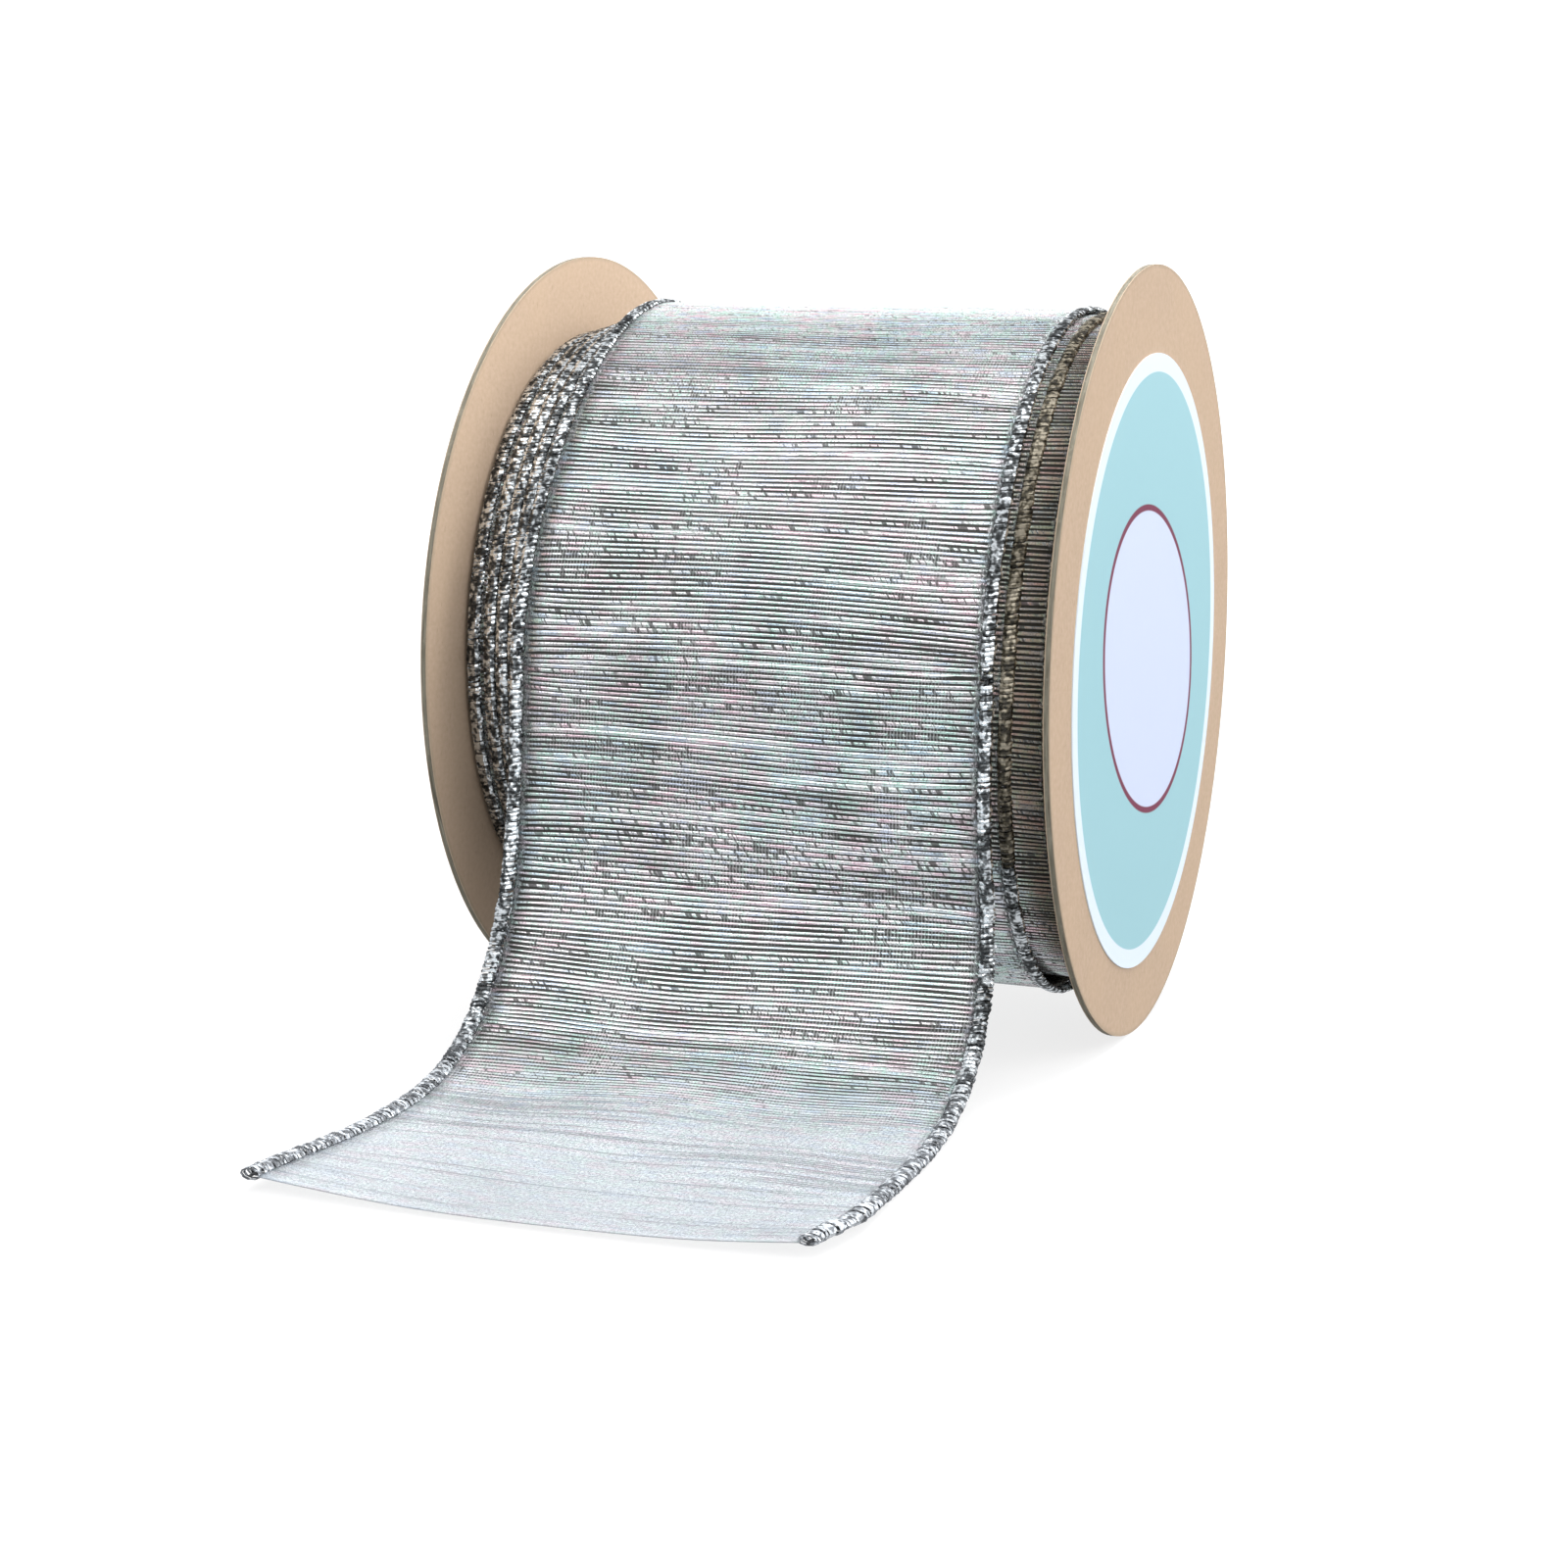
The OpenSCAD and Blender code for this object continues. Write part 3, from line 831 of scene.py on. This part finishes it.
# The last row of every stretch is the first of the next, so that they meet.
coarse_turns = np.arange(FINE_TURNS + 1 / COARSE_ROWS, TURNS, 1 / COARSE_ROWS)
coarse_v = wound_length(coarse_turns)
tail_wefts = np.arange(-tail_rows, 1) / rows
outer_wefts = np.arange(0, outer_rows + 1) / rows
fine_wefts = np.arange(outer_rows, fine_rows + 1) / rows
roll_wefts = np.concatenate([fine_wefts, coarse_v / WEFT])
tail_rib = RIB_H * (1 - FLATTENED * smooth(-WEFT * tail_wefts, *FLATTENS))
outer_rib = np.full(len(outer_wefts), RIB_H)
roll_rib = np.where(roll_wefts <= fine_rows / rows, RIB_H, 0)
tail_cloth = cloth_mesh("tail_cloth", tail_wefts, SHOWN_COLUMNS, tail_rib)
outer_cloth = cloth_mesh("outer_cloth", outer_wefts, SHOWN_COLUMNS, outer_rib)
roll_cloth = cloth_mesh("roll_cloth", roll_wefts, ROLL_COLUMNS, roll_rib)
dress(tail_cloth, tail_silver)
dress(outer_cloth, outer_silver)
dress(roll_cloth, roll_silver)

# The edge threads. Where a turn shows beside the turns over it, its thread is wound loop by loop.
LOOPED_TURNS = {LEFT: (3.8, 8.3), RIGHT: (OUTER_SHARE, 4.0)}
BULK = 0.36 * MM             # half the thread's height off the cloth
ROLL_BULK = {LEFT: 0.26 * MM, RIGHT: 0.4 * MM}
PLAIN_BULK = 0.26 * MM
RAISED = 0.2 * MM            # how far out from the cloth's middle the thread sits
ROLL_RAISED = 0.05 * MM
THREAD_JOIN = 0.3 * MM       # where the tail's thread hands over to the outer turn's
TAIL_WIRE_STEP = 1 * MM
ROLL_WIRE_STEP = 2 * MM
TAIL_SEED = 11
OUTER_SEED = 21
ROLL_SEED = 31

tail_wire_v = np.append(-np.arange(tail_length, 0, -TAIL_WIRE_STEP), 0)
outer_wire_v = np.append(np.arange(0, outer_end, ROLL_WIRE_STEP), outer_end)
roll_v = np.concatenate([np.arange(outer_end, fine_end, ROLL_WIRE_STEP), coarse_v])


def roll_thread_mesh(name, side):
    """The edge thread of the wound turns, looped where it shows and plain under the turns that hide it."""
    looped_from, looped_to = (wound_length(turns) for turns in LOOPED_TURNS[side])
    looped_from = max(looped_from, outer_end)
    seed = ROLL_SEED + side
    parts = [thread_mesh("looped", side, looped_from, looped_to, ROLL_BULK[side], ROLL_RAISED, seed)]
    for v in (roll_v[roll_v <= looped_from], roll_v[roll_v >= looped_to]):
        if len(v) > 1:
            parts.append(rod_mesh("plain", side, v, edging_w / 2, PLAIN_BULK, 0.0, edging_w / 2))
    return join(name, parts)


def wire_mesh(name, side, v, raised):
    return rod_mesh(name, side, v, WIRE_R, WIRE_R, raised, edging_w / 2)


pieces_at = {"tail": [], "outer": [], "roll": []}
for side, side_name in ((LEFT, "left"), (RIGHT, "right")):
    tail_thread = thread_mesh(f"tail_{side_name}_thread", side, -tail_length, THREAD_JOIN, BULK, RAISED,
                              TAIL_SEED + side)
    outer_thread = thread_mesh(f"outer_{side_name}_thread", side, THREAD_JOIN, outer_end, BULK, RAISED,
                               OUTER_SEED + side)
    roll_thread = roll_thread_mesh(f"roll_{side_name}_thread", side)
    tail_wire = wire_mesh(f"tail_{side_name}_edge_wire", side, tail_wire_v, 0.0)
    outer_wire = wire_mesh(f"outer_{side_name}_edge_wire", side, outer_wire_v, RAISED)
    roll_wire = wire_mesh(f"roll_{side_name}_edge_wire", side, roll_v, 0.0)
    dress(tail_thread, tail_tinsel_look)
    dress(outer_thread, tinsel_look)
    # The right wound thread takes the copy with painted shade and painted warm light from the kraft.
    dress(roll_thread, shaded_tinsel_look if side == RIGHT else tinsel_look)
    for wire in (tail_wire, outer_wire, roll_wire):
        dress(wire, wire_look)
    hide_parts(f"tail_{side_name}_edging")
    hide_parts(f"outer_{side_name}_edging")
    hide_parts(f"wound_{side_name}_edging")
    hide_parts(f"tail_{side_name}_wire")
    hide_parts(f"outer_{side_name}_wire")
    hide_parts(f"wound_{side_name}_wire")
    pieces_at["tail"] += [tail_thread, tail_wire]
    pieces_at["outer"] += [outer_thread, outer_wire]
    pieces_at["roll"] += [roll_thread, roll_wire]

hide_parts("ribbon_tail")
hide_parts("outer_turn")
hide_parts("wound_ribbon")

for piece in (outer_cloth, roll_cloth, *pieces_at["outer"], *pieces_at["roll"]):
    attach(piece, "spool")
# The tail turns about the hinge line, and its first centimetre bends; here its pieces are only fixed in
# place, on no body.
for piece in (tail_cloth, *pieces_at["tail"]):
    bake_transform(piece)


# ---------------------------------------------------------------- floor, light and camera

STAGE_SIDES = 96
FLOOR_GAP = 0.05 * MM        # how far the floor lies below the spool
FLOOR_GLOW = 0.78
FAR_GLOW = 1.1               # the backdrop's, which the floor reaches over these distances from the spool
FLOOR_BRIGHTENS = (0.25, 0.9)
# (radius, height above the floor) of each stage surface, in metres
FLOOR_PROFILE = [(0.0001, -FLOOR_GAP), (0.3, -FLOOR_GAP), (2.0, -FLOOR_GAP)]
BACKDROP_PROFILE = [(1.6, -FLOOR_GAP / 2), (2.0, 0.0), (2.3, 0.15), (2.5, 0.5), (2.5, 4.0)]


def stage_mesh(name, profile):
    """A round stage surface from a profile of (radius, height above the floor)."""
    angles = np.arange(STAGE_SIDES) * 2 * math.pi / STAGE_SIDES
    points = [(r * math.cos(a), r * math.sin(a), floor_z + h) for r, h in profile for a in angles]
    faces = []
    for low_ring in range(0, (len(profile) - 1) * STAGE_SIDES, STAGE_SIDES):
        high_ring = low_ring + STAGE_SIDES
        for j in range(STAGE_SIDES):
            k = (j + 1) % STAGE_SIDES
            faces.append((low_ring + j, low_ring + k, high_ring + k, high_ring + j))
    mesh = bpy.data.meshes.new(name)
    mesh.from_pydata(points, [], faces)
    made = bpy.data.objects.new(name, mesh)
    bpy.context.scene.collection.objects.link(made)
    for polygon in mesh.polygons:
        polygon.use_smooth = True
    return made


def pale_paint(name, colour, glow, far_glow):
    """White paint with a glow of its own, which reaches far_glow away from the spool."""
    look = Look(name)
    place = look.place()
    x, y, _ = look.split(place)
    brighter = look.step(look.radius(x, y), *FLOOR_BRIGHTENS)
    glow = look.math("ADD", glow, look.math("MULTIPLY", brighter, far_glow - glow))
    mottle = look.noise(place, 3, 2.0)
    shade = look.mix(mottle, colour, tuple(c * 0.99 for c in colour))
    return look.finish(Base_Color=shade, Roughness=0.9, Specular_IOR_Level=0.0,
                       Emission_Color=(1.0, 1.0, 1.0), Emission_Strength=glow)


floor = stage_mesh("floor", FLOOR_PROFILE)
floor.visible_glossy = False
floor.visible_diffuse = False
dress(floor, pale_paint("floor_paint", (0.24, 0.24, 0.24), FLOOR_GLOW, FAR_GLOW))
backdrop = stage_mesh("backdrop", BACKDROP_PROFILE)
for flag in ("visible_glossy", "visible_diffuse", "visible_shadow", "visible_transmission"):
    setattr(backdrop, flag, False)
dress(backdrop, pale_paint("backdrop_paint", (0.2, 0.2, 0.2), FAR_GLOW, FAR_GLOW))

MIDDLE = (0, -0.02, 0)


def softbox(name, place, target, size, power):
    """A soft rectangular lamp, size in metres and power in watts, that faces target."""
    data = bpy.data.lights.new(name, "AREA")
    data.shape = "RECTANGLE"
    data.size, data.size_y = size
    data.energy = power
    lamp = bpy.data.objects.new(name, data)
    lamp.location = place
    lamp.rotation_euler = (Vector(target) - Vector(place)).to_track_quat("-Z", "Y").to_euler()
    bpy.context.scene.collection.objects.link(lamp)
    return lamp


# The room's brightness from straight down, 0, to straight up, 1.
ROOM_LEVELS = [(0.0, 0.75), (0.4, 0.43), (0.5, 0.52), (0.6, 0.97), (1.0, 0.75)]
ROOM_TINT = (1.0, 1.01, 1.03)
ROOM_STRENGTH = 0.85


def room_light():
    """A room that is bright overhead and darker low down, which the metallic threads mirror."""
    world = bpy.data.worlds.new("room")
    bpy.context.scene.world = world
    world.use_nodes = True
    tree = world.node_tree
    tree.nodes.clear()
    coords = tree.nodes.new("ShaderNodeTexCoord")
    split = tree.nodes.new("ShaderNodeSeparateXYZ")
    ramp = tree.nodes.new("ShaderNodeValToRGB")
    height = tree.nodes.new("ShaderNodeMapRange")
    background = tree.nodes.new("ShaderNodeBackground")
    output = tree.nodes.new("ShaderNodeOutputWorld")
    height.inputs["From Min"].default_value = -1
    points = ramp.color_ramp.elements
    while len(points) < len(ROOM_LEVELS):
        points.new(0.5)
    for point, (where, level) in zip(points, ROOM_LEVELS):
        point.position = where
        point.color = (*(level * tint for tint in ROOM_TINT), 1)
    tree.links.new(coords.outputs["Generated"], split.inputs[0])
    tree.links.new(split.outputs["Z"], height.inputs["Value"])
    tree.links.new(height.outputs[0], ramp.inputs[0])
    tree.links.new(ramp.outputs[0], background.inputs[0])
    tree.links.new(background.outputs[0], output.inputs[0])
    background.inputs[1].default_value = ROOM_STRENGTH


room_light()
top = softbox("top_softbox", (0.1, 0.2, 1.1), MIDDLE, (1.1, 0.9), 7)
top.visible_glossy = False
softbox("right_softbox", (1.1, 0.35, 0.65), MIDDLE, (0.9, 0.8), 8.1)
softbox("front_softbox", (0.1, -0.85, 0.85), MIDDLE, (1.8, 0.8), 8)
# Only the ribbon's top mirrors this one.
back = softbox("back_softbox", (-0.45, 1.2, 0.95), MIDDLE, (1.6, 1.0), 5)
back.visible_diffuse = False
# This one lights the card between the flanges.
inner = softbox("inner_softbox", (0.06, 0.06, 0.3), (-0.04, 0, 0.04), (0.2, 0.2), 0.95)
inner.visible_glossy = False

# The camera stands to the right of the spool's middle, above its axis, and looks down a little.
CAMERA_PLACE = (0.12773, -0.38112, 0.0388)
CAMERA_YAW = math.radians(20.011)
CAMERA_PITCH = math.radians(3.544)
CAMERA_ROLL = math.radians(1.354)
CAMERA_LENS = 67.516         # millimetres, for this sensor
SENSOR_W = 36
CAMERA_SHIFT = -0.1625       # the spool stands in the lower part of what the lens took in
CAMERA_NEAR = 10 * MM        # nothing closer is drawn


def set_camera():
    cos_y, sin_y = math.cos(CAMERA_YAW), math.sin(CAMERA_YAW)
    cos_p, sin_p = math.cos(CAMERA_PITCH), math.sin(CAMERA_PITCH)
    ahead = Vector((-sin_y * cos_p, cos_y * cos_p, -sin_p))
    right = Vector((cos_y, sin_y, 0))
    turn = Matrix.Rotation(-CAMERA_ROLL, 3, ahead)
    right = turn @ right
    up = right.cross(ahead)
    data = bpy.data.cameras.new("camera")
    data.lens = CAMERA_LENS
    data.sensor_width = SENSOR_W
    data.shift_y = CAMERA_SHIFT
    data.clip_start = CAMERA_NEAR
    camera = bpy.data.objects.new("camera", data)
    camera.matrix_world = Matrix((right, up, -ahead)).transposed().to_4x4()
    camera.location = CAMERA_PLACE
    bpy.context.scene.collection.objects.link(camera)
    bpy.context.scene.camera = camera


set_camera()
bpy.context.scene.view_settings.view_transform = "Standard"

bpy.context.view_layer.update()
